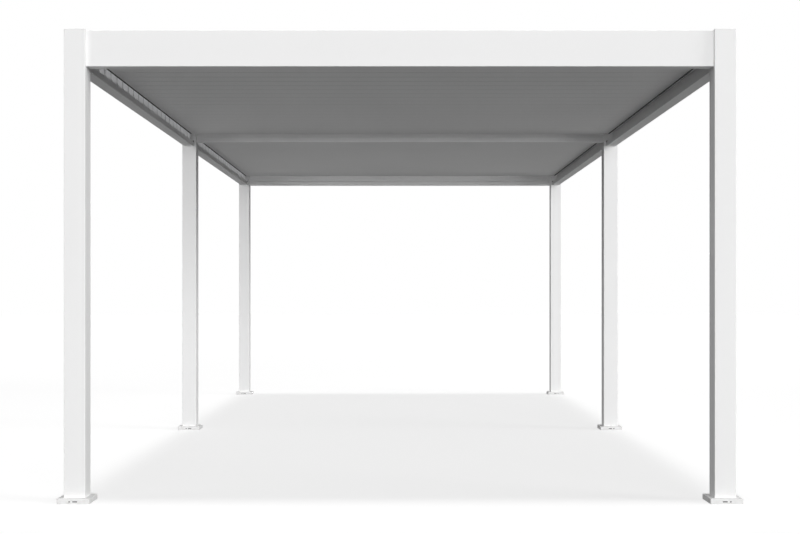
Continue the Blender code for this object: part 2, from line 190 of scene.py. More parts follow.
# Shapes and fittings that the finished pieces have besides
HEEL_RISE = 0.0008
HEEL_RUN = 0.012
CRANK_CORNER = 0.003
CRANK_BEND_RADIUS = 0.0072
PLATE_EDGE = 0.0004
SEAL_SETBACK = 0.002
SEAL_END_GAP = 0.008
# Inset of the black strips of painted shade under the louvre ends
SHADE_STRIP_INSET = 0.002
PIN_EDGE = 0.0006
BOSS_THICKNESS = 0.001
CRANK_PIN_HEAD = {"radius": PIN_RADIUS + 0.001, "thickness": 0.0018, "edge": 0.0008}
LINK_PIN_HEAD = {"radius": PIN_RADIUS, "thickness": 0.0016, "edge": 0.0008}
WASHER = {"radius": PIN_RADIUS + 0.003, "thickness": 0.0008}
SPACER_WALL = 0.0025
END_SCREWS = ((-0.040, -0.011), (0.045, -0.010))
LINK_BAR_EDGE = 0.0005
COLLAR_GAPS = {"left": 0.0045, "right": 0.0008}
COLLAR_FLANGE_WIDTH = 0.003
COLLAR_FLANGE_THICKNESS = 0.0015
OUTLET_INSET = 0.045
OUTLET_RIM = 0.004
OUTLET_HEIGHT = 0.0016
OUTLET_EDGE = 0.0008
# Height of the black disc of painted shade in an outlet
OUTLET_SHADE_HEIGHT = 0.0002

# Shares of a louvre's edge radius, of a seal's width and of a screw head's radius
CROWN_EDGE = 1.5
HEEL_EDGE = 0.5
SEAL_ROUNDING = 0.4
SCREW_HEIGHT = 0.4
SCREW_EDGE = 0.15
# The socket is a black disc of painted shade
SOCKET_SHADE_RADIUS = 0.4
SOCKET_SHADE_HEIGHT = 0.02

# Sockets of a Mix node that mixes colours
MIX_FACTOR = 0
MIX_FIRST = 6
MIX_SECOND = 7
MIX_RESULT = 2

# Patterns of the finishes, with lumps a metre, shares, and relief in metres
COAT_GLOSS = 0.2
CLOUD_LUMPS = 1.7
CLOUD_SHADE = 0.02
CLOUD_DULLNESS = 0.05
PEEL_LUMPS = 650.0
PEEL_SHARE = 0.6
LINE_LUMPS = 260.0
LINE_LUMPS_ALONG = 0.4
LINE_SHARE = 0.4
LINE_DULLNESS = 0.04
COAT_RELIEF = 0.00006
# The coat is darker, warmer and duller in patches over its lowest few centimetres
BOTTOM_TONE_COLOUR = (0.62, 0.60, 0.56)
BOTTOM_TONE_TOP = 0.075
BOTTOM_TONE_LUMPS = 34.0
BOTTOM_TONE_PATCHES = (0.35, 0.75)
BOTTOM_TONE_SHARE = 0.35
BOTTOM_TONE_DULLNESS = 0.2
DRAWN_LUMPS = 900.0
DRAWN_LUMPS_ALONG = 3.0
DRAWN_SHARE = 0.4
DRAWN_DULLNESS = 0.18
DRAWN_RELIEF = 0.00004
METAL_PATCH_LUMPS = 9.0
METAL_PATCH_SHARE = 0.6
METAL_PATCH_DULLNESS = 0.08
METAL_SHADE = 0.10
MOULDED_PATCH_LUMPS = 12.0
MOULDED_PATCH_DULLNESS = 0.1
MOULDED_SHADE = 0.12
MOULDED_RELIEF = 0.00008
BAR_ROUGHNESS = 0.28
CRANK_ROUGHNESS = 0.80
STEEL_ROUGHNESS = 0.22
NYLON_ROUGHNESS = 0.45
NYLON_GRAIN = 900.0
RUBBER_ROUGHNESS = 0.60
RUBBER_GRAIN = 1400.0

# Stage
WHITE = (1.0, 1.0, 1.0)
FLOOR_REACH = 60.0
CAMERA_REACH = 200.0

# Each lamp's degrees to the right of the front, degrees up, spread, strength setting and share of it
LAMPS = {
    "key": (74.0, 13.0, 28.0, "key", 1.0),
    "face_right": (4.5, -0.1, 5.0, "face", 0.55),
    "face_left": (-4.5, -0.1, 5.0, "face", 0.45),
    "front": (20.0, 9.6, 30.0, "front", 1.0),
    "left": (-75.0, 16.0, 34.0, "left", 1.0),
    "top": (0.0, 89.5, 8.0, "top", 1.0),
    "back": (180.0, 6.0, 1.0, "back", 1.0),
    "under": (0.0, -60.0, 60.0, "under", 1.0),
}


class FrameSizes(bpy.types.PropertyGroup):
    """Roundings and small fittings of the posts and beams."""
    post_corner: FloatProperty(name="Post corner", description="Corner radius of the posts",
                               default=0.003, unit="LENGTH")
    beam_corner: FloatProperty(name="Beam corner", description="Corner radius of the beams",
                               default=0.0015, unit="LENGTH")
    thin_edge: FloatProperty(name="Thin edge", description="Edge radius of gutter lips and flanges",
                             default=0.001, unit="LENGTH")
    cap_groove: FloatProperty(name="Cap groove", description="Depth of the shadow line under a post cap",
                              default=0.0012, unit="LENGTH")
    foot_corner: FloatProperty(name="Foot corner", description="Upright corner radius of the plates",
                               default=0.004, unit="LENGTH")
    foot_edge: FloatProperty(name="Foot edge", description="Top edge radius of the foot plates",
                             default=0.0015, unit="LENGTH")
    seam_width: FloatProperty(name="Foot seam", description="Width of the seam round a post's foot",
                              default=0.0025, unit="LENGTH")
    # The pads in the drain slots are black sheets of painted shade
    shade_pad_depth: FloatProperty(name="Insert depth", description="Depth of the pads in the drain slots",
                                default=0.003, unit="LENGTH")
    plug_radius: FloatProperty(name="Plug radius", description="Radius of the anchor hole plugs",
                               default=0.008, unit="LENGTH")
    plug_height: FloatProperty(name="Plug height", description="Height of the anchor hole plugs",
                               default=0.0012, unit="LENGTH")
    # The blocks on the lip ends are black, painted shade where a lip meets a post
    lip_shade_block_size: FloatProperty(name="End clip", description="Length of the clips on a gutter lip's ends",
                            default=0.014, unit="LENGTH")
    outlet_radius: FloatProperty(name="Outlet radius", description="Radius of the gutter outlets",
                                 default=0.019, unit="LENGTH")


class LouvreSizes(bpy.types.PropertyGroup):
    """Roundings and small fittings of the louvres and link bars."""
    edge: FloatProperty(name="Louvre edge", description="Edge radius of the louvre blades",
                        default=0.0012, unit="LENGTH")
    seal_width: FloatProperty(name="Seal width", description="Width of the seal under a louvre's nose",
                              default=0.006, unit="LENGTH")
    seal_height: FloatProperty(name="Seal height", description="Height of the seal under a nose",
                               default=0.0077, unit="LENGTH")
    # The strips under the louvre ends are black, painted shade at the blade's ends
    shade_strip_width: FloatProperty(name="Gasket width", description="Width of the gaskets at a louvre's ends",
                                default=0.012, unit="LENGTH")
    shade_strip_height: FloatProperty(name="Gasket height", description="Thickness of the end gaskets",
                                 default=0.0012, unit="LENGTH")
    crank_plate: FloatProperty(name="Crank plate", description="Thickness of the crank plates",
                               default=0.0024, unit="LENGTH")
    boss_radius: FloatProperty(name="Boss radius", description="Radius of the boss round a crank pin",
                               default=0.0085, unit="LENGTH")
    screw_radius: FloatProperty(name="Screw radius", description="Head radius of the end plate screws",
                                default=0.004, unit="LENGTH")
    collar_radius: FloatProperty(name="Collar radius", description="Radius of the collars round the pins",
                                 default=0.0065, unit="LENGTH")


class FinishColours(bpy.types.PropertyGroup):
    """Colours and gloss of the finishes."""
    coat: FloatVectorProperty(name="Powder coat", description="Colour of the powder coat",
                              default=(0.86, 0.86, 0.86), subtype="COLOR")
    louvre_coat: FloatVectorProperty(name="Louvre coat", description="Powder coat of the louvres",
                                     default=(0.84, 0.84, 0.84), subtype="COLOR")
    coat_roughness: FloatProperty(name="Coat roughness", description="Roughness of the powder coat",
                                  default=0.52, subtype="FACTOR")
    bare: FloatVectorProperty(name="Bare aluminium", description="Colour of the link bars",
                              default=(0.70, 0.70, 0.71), subtype="COLOR")
    crank: FloatVectorProperty(name="Crank plate", description="Colour of the crank plates",
                               default=(0.88, 0.88, 0.89), subtype="COLOR")
    steel: FloatVectorProperty(name="Stainless steel", description="Colour of screws and pins",
                               default=(0.60, 0.59, 0.57), subtype="COLOR")
    nylon: FloatVectorProperty(name="Nylon", description="Colour of plugs and collars",
                               default=(0.74, 0.74, 0.73), subtype="COLOR")
    # Black of the pieces that paint shade: drain pads, louvre end strips, lip end blocks, outlet discs and
    # screw sockets
    painted_shade_black: FloatVectorProperty(name="Rubber", description="Colour of the black gaskets",
                                default=(0.04, 0.04, 0.041), subtype="COLOR")
    seal: FloatVectorProperty(name="Seal", description="Colour of the pale seals under the noses",
                              default=(0.58, 0.58, 0.58), subtype="COLOR")


class StageSettings(bpy.types.PropertyGroup):
    """Camera, lamps and floor."""
    lens: FloatProperty(name="Lens", description="Focal length in millimetres", default=54.7155)
    camera_place: FloatVectorProperty(name="Camera", description="Place of the camera",
                                      default=(0.0, -10.108, 1.116), subtype="XYZ")
    shift: FloatProperty(name="Shift", description="Upward shift of the camera's frame", default=0.0346)
    key: FloatProperty(name="Key", description="Strength of the lamp from the right", default=0.545)
    face: FloatProperty(name="Face", description="Strength of the two level front lamps", default=0.49)
    front: FloatProperty(name="Front", description="Strength of the higher front lamp", default=0.215)
    left: FloatProperty(name="Left", description="Strength of the weak lamp from the left", default=0.18)
    top: FloatProperty(name="Top", description="Strength of the lamp overhead", default=0.38)
    back: FloatProperty(name="Back", description="Strength of the lamp from behind", default=0.30)
    under: FloatProperty(name="Under", description="Strength of the wide lamp from below",
                         default=0.115)
    sky: FloatProperty(name="Sky", description="Strength of the light from all round", default=0.12)
    floor_glow: FloatProperty(name="Floor white", description="White of the floor that stays in shade",
                              default=0.70, subtype="FACTOR")
    floor_shade: FloatProperty(name="Floor shade", description="White of the floor that shade takes",
                               default=0.41, subtype="FACTOR")
    floor_bounce: FloatProperty(name="Floor bounce", description="Lightness of the floor to the roof",
                                default=0.06, subtype="FACTOR")


class Value:
    """A number in a material. Arithmetic on it adds Math nodes."""

    def __init__(self, finish, socket):
        self.finish = finish
        self.socket = socket

    def _join(self, operation, first, second):
        return self.finish.node("Math", {"operation": operation}, {0: first, 1: second})

    def __add__(self, other):
        return self._join("ADD", self, other)

    def __radd__(self, other):
        return self._join("ADD", other, self)

    def __mul__(self, other):
        return self._join("MULTIPLY", self, other)

    def __rmul__(self, other):
        return self._join("MULTIPLY", other, self)


class Finish:
    """The node tree of a material or of the world, while it is put together."""

    def __init__(self, owner):
        owner.use_nodes = True
        self.owner = owner
        self.tree = owner.node_tree

    def node(self, kind, settings=None, sockets=None, output=0):
        """Add a node with its settings, then its values and links, and return one output."""
        made = self.tree.nodes.new("ShaderNode" + kind)
        for name, setting in (settings or {}).items():
            setattr(made, name, setting)
        self.feed(made, sockets or {})
        return Value(self, made.outputs[output])

    def feed(self, made, sockets):
        """Set or link a node's sockets."""
        for name, given in sockets.items():
            if isinstance(given, Value):
                self.tree.links.new(given.socket, made.inputs[name])
            else:
                made.inputs[name].default_value = given

    def place(self, stretch=(1.0, 1.0, 1.0)):
        """Place on the piece, with each axis stretched by a factor."""
        point = self.node("TexCoord", output="Object")
        return self.node("Mapping", {}, {"Vector": point, "Scale": stretch})

    def drawn(self, grain, along, aside):
        """Place on the piece, with so many lumps a metre along the grain and aside of it."""
        return self.place([along if axis == grain else aside for axis in "xyz"])

    def noise(self, place, detail, scale=1.0):
        """Soft noise between 0 and 1, with so many lumps a metre."""
        return self.node("TexNoise", {}, {"Vector": place, "Scale": scale, "Detail": detail}, "Fac")

    def limit(self, value, low, high):
        """Stretch the part of a value between low and high to 0 and 1."""
        return self.node("MapRange", {"clamp": True},
                         {"Value": value, "From Min": low, "From Max": high})

    def colours(self, factor, first, second):
        """Mix two colours."""
        return self.node("Mix", {"data_type": "RGBA"},
                         {MIX_FACTOR: factor, MIX_FIRST: opaque(first), MIX_SECOND: opaque(second)},
                         MIX_RESULT)

    def surface(self, colour, roughness, height, depth, metallic=0.0, gloss=0.5):
        """Lead the results to the material's shader."""
        shader = self.tree.nodes["Principled BSDF"]
        normal = self.node("Bump", {}, {"Height": height, "Distance": depth, "Strength": 1.0})
        self.feed(shader, {"Base Color": colour, "Roughness": roughness, "Metallic": metallic,
                           "Normal": normal, "Specular IOR Level": gloss})
        return self.owner


def opaque(colour):
    """A colour with its alpha, or a mixed colour as it is."""
    return colour if isinstance(colour, Value) else (*colour, 1.0)


def shaded(colour, share):
    """A colour made darker by a share."""
    return tuple(part * (1 - share) for part in colour)


def powder_coat(name, colour, roughness, grain):
    """Satin powder coat over the faint die lines of an extrusion. grain is its long axis."""
    finish = Finish(bpy.data.materials.new(name))
    everywhere = finish.place()
    clouds = finish.noise(everywhere, detail=3.0, scale=CLOUD_LUMPS)
    peel = finish.noise(everywhere, detail=2.0, scale=PEEL_LUMPS)
    lines = finish.noise(finish.drawn(grain, LINE_LUMPS_ALONG, LINE_LUMPS), detail=2.0)
    height = finish.node("SeparateXYZ", {}, {"Vector": finish.node("TexCoord", output="Object")}, "Z")
    patches = finish.limit(finish.noise(everywhere, detail=4.0, scale=BOTTOM_TONE_LUMPS), *BOTTOM_TONE_PATCHES)
    # Darker, warmer and duller in patches towards the floor
    bottom_tone = finish.limit(height, BOTTOM_TONE_TOP, 0.0) * patches
    clouded = finish.colours(clouds, colour, shaded(colour, CLOUD_SHADE))
    bottom_toned = finish.colours(bottom_tone * BOTTOM_TONE_SHARE, clouded, BOTTOM_TONE_COLOUR)
    dullness = roughness + clouds * CLOUD_DULLNESS + lines * LINE_DULLNESS + bottom_tone * BOTTOM_TONE_DULLNESS
    relief = peel * PEEL_SHARE + lines * LINE_SHARE
    return finish.surface(bottom_toned, dullness, relief, COAT_RELIEF, gloss=COAT_GLOSS)


def bare_metal(name, colour, roughness, grain):
    """Drawn metal with fine lines along one axis."""
    finish = Finish(bpy.data.materials.new(name))
    lines = finish.noise(finish.drawn(grain, DRAWN_LUMPS_ALONG, DRAWN_LUMPS), detail=3.0)
    patches = finish.noise(finish.place(), detail=4.0, scale=METAL_PATCH_LUMPS)
    wear = patches * METAL_PATCH_SHARE + lines * DRAWN_SHARE
    tone = finish.colours(wear, shaded(colour, METAL_SHADE), colour)
    dullness = roughness + lines * DRAWN_DULLNESS + patches * METAL_PATCH_DULLNESS
    return finish.surface(tone, dullness, lines, DRAWN_RELIEF, metallic=1.0)


def moulded(name, colour, roughness, grain_lumps):
    """Moulded finish with a fine sand-like skin: nylon, the pale seals, and the black pieces of painted
    shade.
    """
    finish = Finish(bpy.data.materials.new(name))
    everywhere = finish.place()
    skin = finish.noise(everywhere, detail=3.0, scale=grain_lumps)
    patches = finish.noise(everywhere, detail=3.0, scale=MOULDED_PATCH_LUMPS)
    tone = finish.colours(patches, shaded(colour, MOULDED_SHADE), colour)
    return finish.surface(tone, roughness + patches * MOULDED_PATCH_DULLNESS, skin, MOULDED_RELIEF)


def finish_of(name):
    """A finish by name, made when it is first asked for."""
    made = bpy.data.materials.get(name)
    if made:
        return made
    chosen = bpy.context.scene.pergola_finishes
    coat, gloss = tuple(chosen.coat), chosen.coat_roughness
    makers = {
        "coat_upright": lambda: powder_coat(name, coat, gloss, "z"),
        "coat_across": lambda: powder_coat(name, coat, gloss, "x"),
        "coat_along": lambda: powder_coat(name, coat, gloss, "y"),
        "coat_louvre": lambda: powder_coat(name, tuple(chosen.louvre_coat), gloss, "x"),
        "bare_bar": lambda: bare_metal(name, tuple(chosen.bare), BAR_ROUGHNESS, "y"),
        "crank_metal": lambda: bare_metal(name, tuple(chosen.crank), CRANK_ROUGHNESS, "z"),
        "stainless": lambda: bare_metal(name, tuple(chosen.steel), STEEL_ROUGHNESS, "x"),
        "nylon": lambda: moulded(name, tuple(chosen.nylon), NYLON_ROUGHNESS, NYLON_GRAIN),
        # Black for the pieces of painted shade
        "painted_shade_black": lambda: moulded(name, tuple(chosen.painted_shade_black), RUBBER_ROUGHNESS, RUBBER_GRAIN),
        "seal_grey": lambda: moulded(name, tuple(chosen.seal), RUBBER_ROUGHNESS, RUBBER_GRAIN),
    }
    return makers[name]()


def upward(height):
    """A step straight up."""
    return Vector((0, 0, height))


def rightward(distance):
    """A step to the right."""
    return Vector((distance, 0, 0))


def block(first, second):
    """A box between two opposite corners."""
    form = bmesh.new()
    span = [abs(there - here) for here, there in zip(first, second)]
    bmesh.ops.create_cube(form, size=1.0)
    bmesh.ops.scale(form, verts=form.verts, vec=span)
    bmesh.ops.translate(form, verts=form.verts, vec=(Vector(first) + Vector(second)) / 2)
    return form


def disc(place, direction, radius, thickness, sides=PIN_SIDES, edge=0.0):
    """A disc that starts at a place and grows along a direction, with its far rim rounded."""
    form = bmesh.new()
    bmesh.ops.create_cone(form, cap_ends=True, segments=sides, radius1=radius, radius2=radius,
                          depth=thickness)
    if edge:
        rim = [line for line in form.edges if all(point.co.z > 0 for point in line.verts)]
        round_edges(form, rim, edge, FINE_EDGE_STEPS)
    bmesh.ops.translate(form, verts=form.verts, vec=(0, 0, thickness / 2))
    turn = Vector(direction).to_track_quat("Z", "Y").to_matrix().to_4x4()
    bmesh.ops.transform(form, matrix=Matrix.Translation(place) @ turn, verts=form.verts)
    return form


def round_edges(form, edges, radius, steps=ROUND_STEPS):
    """Round some edges of a form."""
    bmesh.ops.bevel(form, geom=edges, offset=radius, segments=steps, profile=0.5, affect="EDGES",
                    material=-1, clamp_overlap=True)


def edges_along(form, axis):
    """The edges of a form that run along an axis."""
    return [edge for edge in form.edges
            if abs((edge.verts[1].co - edge.verts[0].co).normalized()[axis]) > PARALLEL]


def edges_at(form, axis, place):
    """The edges of a form that lie in a plane across an axis."""
    return [edge for edge in form.edges
            if all(abs(point.co[axis] - place) < SAME_PLACE for point in edge.verts)]


def extrusion(corners, start, end, turn, end_edge=0.0):
    """Extrude a section from start to end. Its corners are (across, up, radius)."""
    form = bmesh.new()
    points = [form.verts.new((across, up, start)) for across, up, _ in corners]
    form.faces.new(points)
    radii = [radius for _, _, radius in corners]
    for radius in sorted(set(radii) - {0}):
        rounded = [point for point, wanted in zip(points, radii) if wanted == radius]
        bmesh.ops.bevel(form, geom=rounded, offset=radius, segments=ROUND_STEPS, profile=0.5,
                        affect="VERTICES", material=-1, clamp_overlap=True)
    grown = bmesh.ops.extrude_face_region(form, geom=form.faces[:])["geom"]
    bmesh.ops.translate(form, verts=[item for item in grown if isinstance(item, bmesh.types.BMVert)],
                        vec=(0, 0, end - start))
    if end_edge:
        ends = edges_at(form, Z_AXIS, start) + edges_at(form, Z_AXIS, end)
        round_edges(form, ends, end_edge, FINE_EDGE_STEPS)
    bmesh.ops.transform(form, matrix=turn, verts=form.verts)
    bmesh.ops.recalc_face_normals(form, faces=form.faces)
    return form


class Piece:
    """A piece that is put together from forms, each with one finish."""

    def __init__(self, name):
        self.name = name
        self.form = bmesh.new()
        self.finishes = []

    def add(self, form, finish):
        """Take in a form, which is used up."""
        if finish not in self.finishes:
            self.finishes.append(finish)
        for face in form.faces:
            face.material_index = self.finishes.index(finish)
        carrier = bpy.data.meshes.new("carrier")
        form.to_mesh(carrier)
        form.free()
        self.form.from_mesh(carrier)
        bpy.data.meshes.remove(carrier)

    def mesh(self):
        """The finished mesh."""
        made = bpy.data.meshes.new(self.name)
        self.form.to_mesh(made)
        self.form.free()
        for finish in self.finishes:
            made.materials.append(finish_of(finish))
        made.shade_smooth()
        made.set_sharp_from_angle(angle=SMOOTH_ANGLE)
        return made

    def settle(self, body, slot, replaced):
        """Make the piece an object that rides on a body and stands for some nodes."""
        settle(self.name, self.mesh(), body, replaced)


def settle(name, mesh, body, replaced):
    """Make an object of a mesh that rides on a body and stands for some nodes."""
    item = bpy.data.objects.new(name, mesh)
    bpy.context.scene.collection.objects.link(item)
    shading = item.modifiers.new("even_shading", "WEIGHTED_NORMAL")
    shading.keep_sharp = True
    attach(item, body)
    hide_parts(*replaced)


def sink(form, centre, width, height, depth, is_round):
    """Sink a window into the front of a form: a slot, or a round hole."""
    for axis, half in ((X_AXIS, width / 2), (Z_AXIS, height / 2)):
        for side in (-1, 1):
            normal = Vector((0, 0, 0))
            normal[axis] = 1.0
            bmesh.ops.bisect_plane(form, geom=form.verts[:] + form.edges[:] + form.faces[:],
                                   dist=CUT_TOLERANCE, plane_co=centre + side * half * normal,
                                   plane_no=normal)
    window = nearest_face(form, centre)
    if is_round:
        bmesh.ops.bevel(form, geom=window.verts[:], offset=FULL_ROUND * width, segments=HOLE_STEPS,
                        profile=0.5, affect="VERTICES", material=-1, clamp_overlap=True)
        window = nearest_face(form, centre)
    bottom = bmesh.ops.extrude_discrete_faces(form, faces=[window])["faces"][0]
    bmesh.ops.translate(form, verts=bottom.verts, vec=(0, depth, 0))


def nearest_face(form, place):
    """The face whose middle is nearest to a place."""
    return min(form.faces, key=lambda face: (face.calc_center_median() - place).length)


def drain_places(centre, outward, depth):
    """Centres of a foot plate's drain slot and weep hole, so deep behind its front."""
    front = centre + Vector((0, depth - FOOT_SIZE / 2, DRAIN_HEIGHT))
    return (front - rightward(outward * DRAIN_SLOT_INWARD),
            front + rightward(outward * WEEP_HOLE_OUTWARD))


def foot_plate(centre, outward, sizes):
    """Foot plate of a post, with its drain slot and weep hole in front."""
    half = Vector((FOOT_SIZE / 2, FOOT_SIZE / 2, 0))
    form = block(centre - half, centre + half + upward(FOOT_THICKNESS))
    round_edges(form, edges_along(form, Z_AXIS), sizes.foot_corner)
    round_edges(form, edges_at(form, Z_AXIS, FOOT_THICKNESS), sizes.foot_edge, EDGE_STEPS)
    slot, hole = drain_places(centre, outward, 0.0)
    sink(form, slot, DRAIN_SLOT_WIDTH, DRAIN_SLOT_HEIGHT, DRAIN_DEPTH, is_round=False)
    sink(form, hole, WEEP_HOLE_DIAMETER, WEEP_HOLE_DIAMETER, DRAIN_DEPTH, is_round=True)
    return form


def drain_shade_pads(piece, centre, outward, depth):
    """Black pads inside the drain slot and the weep hole: painted shade that darkens these recesses."""
    slot, hole = drain_places(centre, outward, depth)
    half = Vector((DRAIN_SLOT_WIDTH / 2, 0, DRAIN_SLOT_HEIGHT / 2))
    piece.add(block(slot - half, slot + half + Vector((0, FIT_GAP, 0))), "painted_shade_black")
    piece.add(disc(hole, TO_FRONT, WEEP_HOLE_DIAMETER / 2, FIT_GAP), "painted_shade_black")


def foot_seam(centre, width):
    """Sealed seam between a post and its foot plate, as a low square frustum round the post."""
    form = bmesh.new()
    top, bottom = POST_SIZE / 2, POST_SIZE / 2 + width
    bmesh.ops.create_cone(form, cap_ends=True, segments=4, radius1=bottom * math.sqrt(2),
                          radius2=top * math.sqrt(2), depth=width)
    bmesh.ops.rotate(form, verts=form.verts, cent=(0, 0, 0), matrix=Matrix.Rotation(math.pi / 4, 3, "Z"))
    bmesh.ops.translate(form, verts=form.verts, vec=centre + upward(FOOT_THICKNESS + width / 2))
    return form


def post_piece(node, outward, sizes):
    """A post with its grooved cap, its foot plate and the plugs over the anchor holes."""
    centre = post_centre(node)
    half = Vector((POST_SIZE / 2, POST_SIZE / 2, 0))
    groove = Vector((sizes.cap_groove, sizes.cap_groove, 0))
    cap_bottom = upward(POST_TOP - CAP_THICKNESS)
    shaft_top = cap_bottom - upward(sizes.cap_groove)
    piece = Piece(node + "_column")
    shaft = block(centre - half + upward(FOOT_THICKNESS / 2), centre + half + shaft_top)
    round_edges(shaft, edges_along(shaft, Z_AXIS), sizes.post_corner)
    piece.add(shaft, "coat_upright")
    neck = block(centre - half + groove + shaft_top, centre + half - groove + cap_bottom)
    piece.add(neck, "coat_upright")
    cap = block(centre - half + cap_bottom, centre + half + upward(POST_TOP))
    round_edges(cap, edges_along(cap, Z_AXIS), sizes.post_corner)
    round_edges(cap, edges_at(cap, Z_AXIS, POST_TOP), sizes.beam_corner, EDGE_STEPS)
    piece.add(cap, "coat_upright")
    piece.add(foot_plate(centre, outward, sizes), "coat_upright")
    piece.add(foot_seam(centre, sizes.seam_width), "coat_upright")
    # Black pads of painted shade inside the drain slot and the weep hole
    drain_shade_pads(piece, centre, outward, sizes.shade_pad_depth)
    reach = FOOT_SIZE / 2 - PLUG_INSET
    for across in (-reach, reach):
        for along in (-reach, reach):
            place = centre + Vector((across, along, FOOT_THICKNESS))
            piece.add(disc(place, UP, sizes.plug_radius, sizes.plug_height, PLUG_SIDES,
                           sizes.plug_height / 2), "nylon")
    return piece


class PERGOLA_OT_posts(bpy.types.Operator):
    """Six posts with their caps and foot plates"""
    bl_idname = "pergola.posts"
    bl_label = "Posts"

    def execute(self, context):
        sizes = context.scene.pergola_frame
        for row in ROWS:
            for side, outward in SIDES.items():
                node = f"{row}_{side}_post"
                piece = post_piece(node, outward, sizes)
                piece.settle("frame", "white_powder_coat", [node])
        return {"FINISHED"}


def perimeter_section(inner, outward, sizes, with_track):
    """Section of a perimeter beam: box at the outside, gutter inside.

    inner is the place of the gutter's face and outward the sign of the way out.
    """
    corner, thin = sizes.beam_corner, sizes.thin_edge
    flange_edge, flange_bottom = BOX_FACE - FLANGE_WIDTH, BEAM_TOP - WALL
    corners = [
        (0.0, BEAM_UNDERSIDE, corner),
        (BEAM_THICKNESS, BEAM_UNDERSIDE, corner),
        (BEAM_THICKNESS, BEAM_TOP, corner),
        (flange_edge, BEAM_TOP, thin),
        (flange_edge, flange_bottom, thin),
        (BOX_FACE, flange_bottom, corner),
    ]
    if with_track:
        face, back = BOX_FACE - TRACK_DEPTH, BOX_FACE - TRACK_BACK
        inside, outside = GROOVE_HEIGHT / 2, GROOVE_HEIGHT / 2 + TRACK_WALL
        corners += [
            (BOX_FACE, PIVOT_HEIGHT + outside, corner),
            (face, PIVOT_HEIGHT + outside, thin),
            (face, PIVOT_HEIGHT + inside, thin / 2),
            (back, PIVOT_HEIGHT + inside, 0),
            (back, PIVOT_HEIGHT - inside, 0),
            (face, PIVOT_HEIGHT - inside, thin / 2),
            (face, PIVOT_HEIGHT - outside, thin),
            (BOX_FACE, PIVOT_HEIGHT - outside, corner),
        ]
    corners += [
        (BOX_FACE, GUTTER_FLOOR, 2 * corner),
        (WALL, GUTTER_FLOOR, corner),
        (WALL, LIP_TOP, thin),
        (0.0, LIP_TOP, thin),
    ]
    return [(inner + outward * across, up, radius) for across, up, radius in corners]


def strip_plate(back, notch, lip, sizes):
    """Flat closing strip from inside its beam to its lip, notched for the posts."""
    thin = sizes.thin_edge
    corners = [(-CROSS_REACH, back, 0), (CROSS_REACH, back, 0), (CROSS_REACH, notch, 0),
               (LOUVRE_HALF_LENGTH, notch, thin), (LOUVRE_HALF_LENGTH, lip, thin),
               (-LOUVRE_HALF_LENGTH, lip, thin), (-LOUVRE_HALF_LENGTH, notch, thin),
               (-CROSS_REACH, notch, 0)]
    return extrusion(corners, LOUVRE_UNDERSIDE, LOUVRE_UNDERSIDE + LIP_THICKNESS, ALONG_Z)


def near_strip(piece, start, back, notch, sizes):
    """Strip ahead of a bay's first louvre, which starts at start."""
    piece.add(strip_plate(back, notch, start - LIP_SETBACK, sizes), "coat_across")


def far_strip(piece, end, back, notch, sizes):
    """Strip behind a bay's last louvre, which ends at end, with a nose that laps its lip."""
    heel = end - LIP_SETBACK + SEAM_GAP
    web, nose = heel + WALL, end - NOSE_OVERLAP
    low, high = PIVOT_HEIGHT + NOSE_BOTTOM, PIVOT_HEIGHT + NOSE_BOTTOM + NOSE_THICKNESS
    edge = sizes.thin_edge
    piece.add(strip_plate(back, notch, web, sizes), "coat_across")
    corners = [(heel, LOUVRE_UNDERSIDE, edge), (web, LOUVRE_UNDERSIDE, 0), (web, high, edge),
               (nose, high, edge), (nose, low, edge), (heel, low, edge)]
    piece.add(extrusion(corners, -LOUVRE_HALF_LENGTH, LOUVRE_HALF_LENGTH, ALONG_X), "coat_across")
    piece.add(seal(nose, low, bpy.context.scene.pergola_louvres), "seal_grey")


def seal(nose, underside, sizes):
    """Soft seal under a nose, from side to side, close behind the nose's edge."""
    near = nose + SEAL_SETBACK
    far, bottom = near + sizes.seal_width, underside - sizes.seal_height
    rounding = SEAL_ROUNDING * sizes.seal_width
    corners = [(near, underside, 0), (near, bottom, rounding), (far, bottom, rounding),
               (far, underside, 0)]
    reach = LOUVRE_HALF_LENGTH - SEAL_END_GAP
    return extrusion(corners, -reach, reach, ALONG_X)


def outer_beam(bay, way, sizes):
    """Front or rear beam with its closing strip and the strip's hanging leg."""
    face = way * -FRONT_FACE
    piece = Piece(bay + "_beam_profile")
    section = perimeter_section(face, way, sizes, with_track=False)
    piece.add(extrusion(section, -CROSS_REACH, CROSS_REACH, ALONG_X), "coat_across")
    back, notch = face + way * (BOX_FACE + JOIN_DEPTH), way * (POST_Y - POST_CLEAR)
    if bay == "front":
        near_strip(piece, face + END_MARGIN, back, notch, sizes)
    else:
        far_strip(piece, face - END_MARGIN, back, notch, sizes)
    near, far = sorted((face, face + way * WALL))
    low, high = LIP_TOP + SHADOW_GAP, LOUVRE_UNDERSIDE + LIP_THICKNESS / 2
    leg = [(near, low, sizes.thin_edge), (far, low, sizes.thin_edge), (far, high, 0), (near, high, 0)]
    piece.add(extrusion(leg, -CROSS_REACH, CROSS_REACH, ALONG_X), "coat_across")
    return piece


def middle_beam(sizes):
    """Middle beam with a closing strip on each side."""
    piece = Piece("mid_beam_profile")
    half = BEAM_THICKNESS / 2
    waist, step, corner = half - MID_FOOT_STEP, LIP_TOP + MID_FOOT_HEIGHT, sizes.beam_corner
    right = [(half, LIP_TOP, corner), (half, step, corner / 2), (waist, step, corner / 2),
             (waist, BEAM_TOP, corner)]
    left = [(-across, up, radius) for across, up, radius in reversed(right)]
    piece.add(extrusion(right + left, -CROSS_REACH, CROSS_REACH, ALONG_X), "coat_across")
    far_strip(piece, -half - END_MARGIN, -waist + JOIN_DEPTH, -POST_CLEAR, sizes)
    near_strip(piece, half + END_MARGIN, waist - JOIN_DEPTH, POST_CLEAR, sizes)
    return piece


